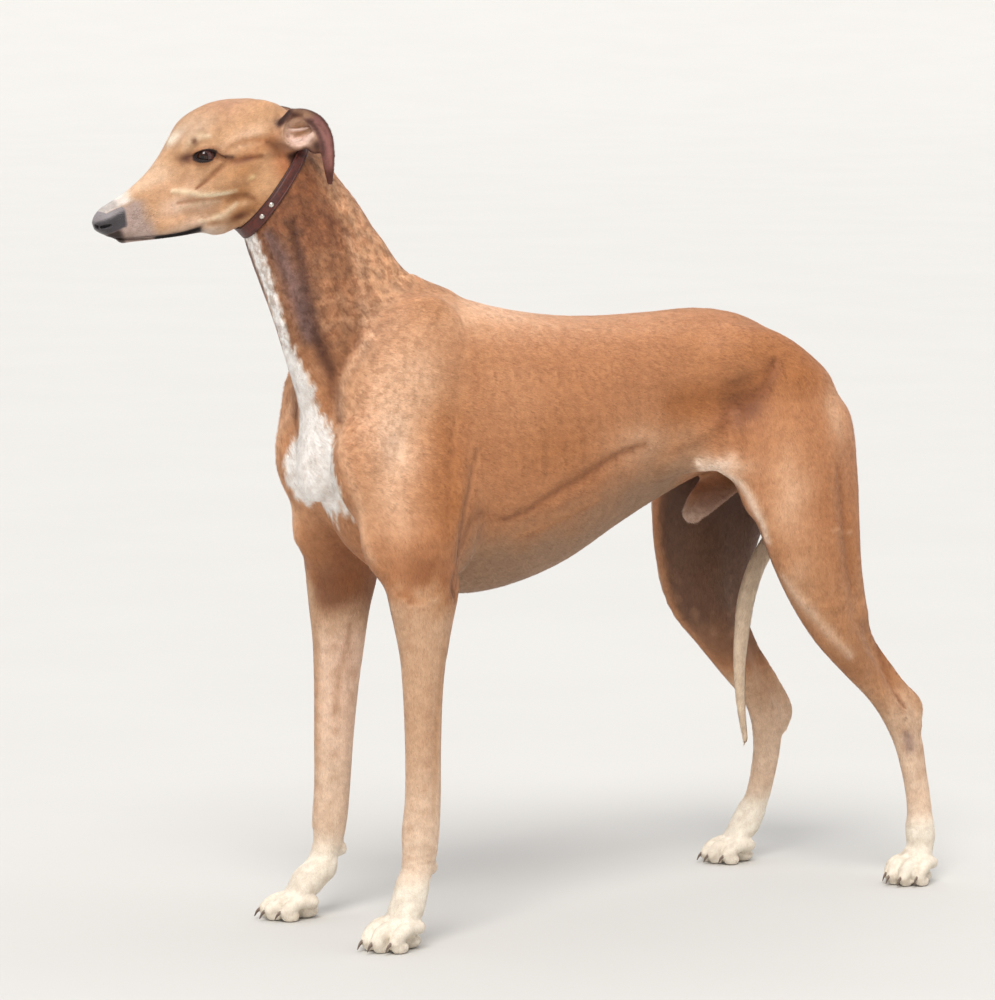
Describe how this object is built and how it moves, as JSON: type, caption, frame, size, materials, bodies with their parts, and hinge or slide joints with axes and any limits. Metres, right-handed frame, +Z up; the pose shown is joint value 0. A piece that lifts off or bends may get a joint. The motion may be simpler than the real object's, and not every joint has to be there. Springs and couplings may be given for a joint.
{
  "type": "greyhound",
  "caption": "Life-size still model of a standing fawn greyhound with a white throat and pale legs, ears folded back, wearing a thin leather collar with small studs and a ring.",
  "frame": {"origin": "middle of the bottom of the bounding box, on the floor between the four paws", "axes": "+Z up, -X towards the nose, +X towards the rump, -Y towards the dog's left side"},
  "size_m": [1.0208, 0.298, 0.9461],
  "materials": {
    "coat_fawn": "short smooth fur",
    "coat_pale": "short smooth fur",
    "eye": "wet gloss",
    "nose_leather": "moist, pebbled",
    "claw": "horn",
    "collar_leather": "smooth",
    "collar_metal": "polished"
  },
  "bodies": {
    "root": {"torso": "coat_fawn", "ear_left": "coat_fawn", "eye_left": "eye", "ear_right": "coat_fawn", "eye_right": "eye", "head": "coat_fawn", "nose": "nose_leather", "neck": "coat_fawn", "collar_strap": "collar_leather", "collar_stud_1": "collar_metal", "collar_stud_2": "collar_metal", "collar_stud_3": "collar_metal", "collar_stud_4": "collar_metal", "collar_keeper": "collar_leather", "collar_ring": "collar_metal", "left_front_leg": "coat_fawn", "left_front_claw_outer": "claw", "left_front_claw_outer_middle": "claw", "left_front_claw_inner_middle": "claw", "left_front_claw_inner": "claw", "left_front_paw": "coat_pale", "right_front_leg": "coat_fawn", "right_front_claw_inner": "claw", "right_front_claw_inner_middle": "claw", "right_front_claw_outer_middle": "claw", "right_front_claw_outer": "claw", "right_front_paw": "coat_pale", "left_hind_leg": "coat_fawn", "left_hind_claw_outer": "claw", "left_hind_claw_outer_middle": "claw", "left_hind_claw_inner_middle": "claw", "left_hind_claw_inner": "claw", "left_hind_paw": "coat_pale", "right_hind_leg": "coat_fawn", "right_hind_claw_inner": "claw", "right_hind_claw_inner_middle": "claw", "right_hind_claw_outer_middle": "claw", "right_hind_claw_outer": "claw", "right_hind_paw": "coat_pale", "tail": "coat_pale"}
  },
  "joints": []
}
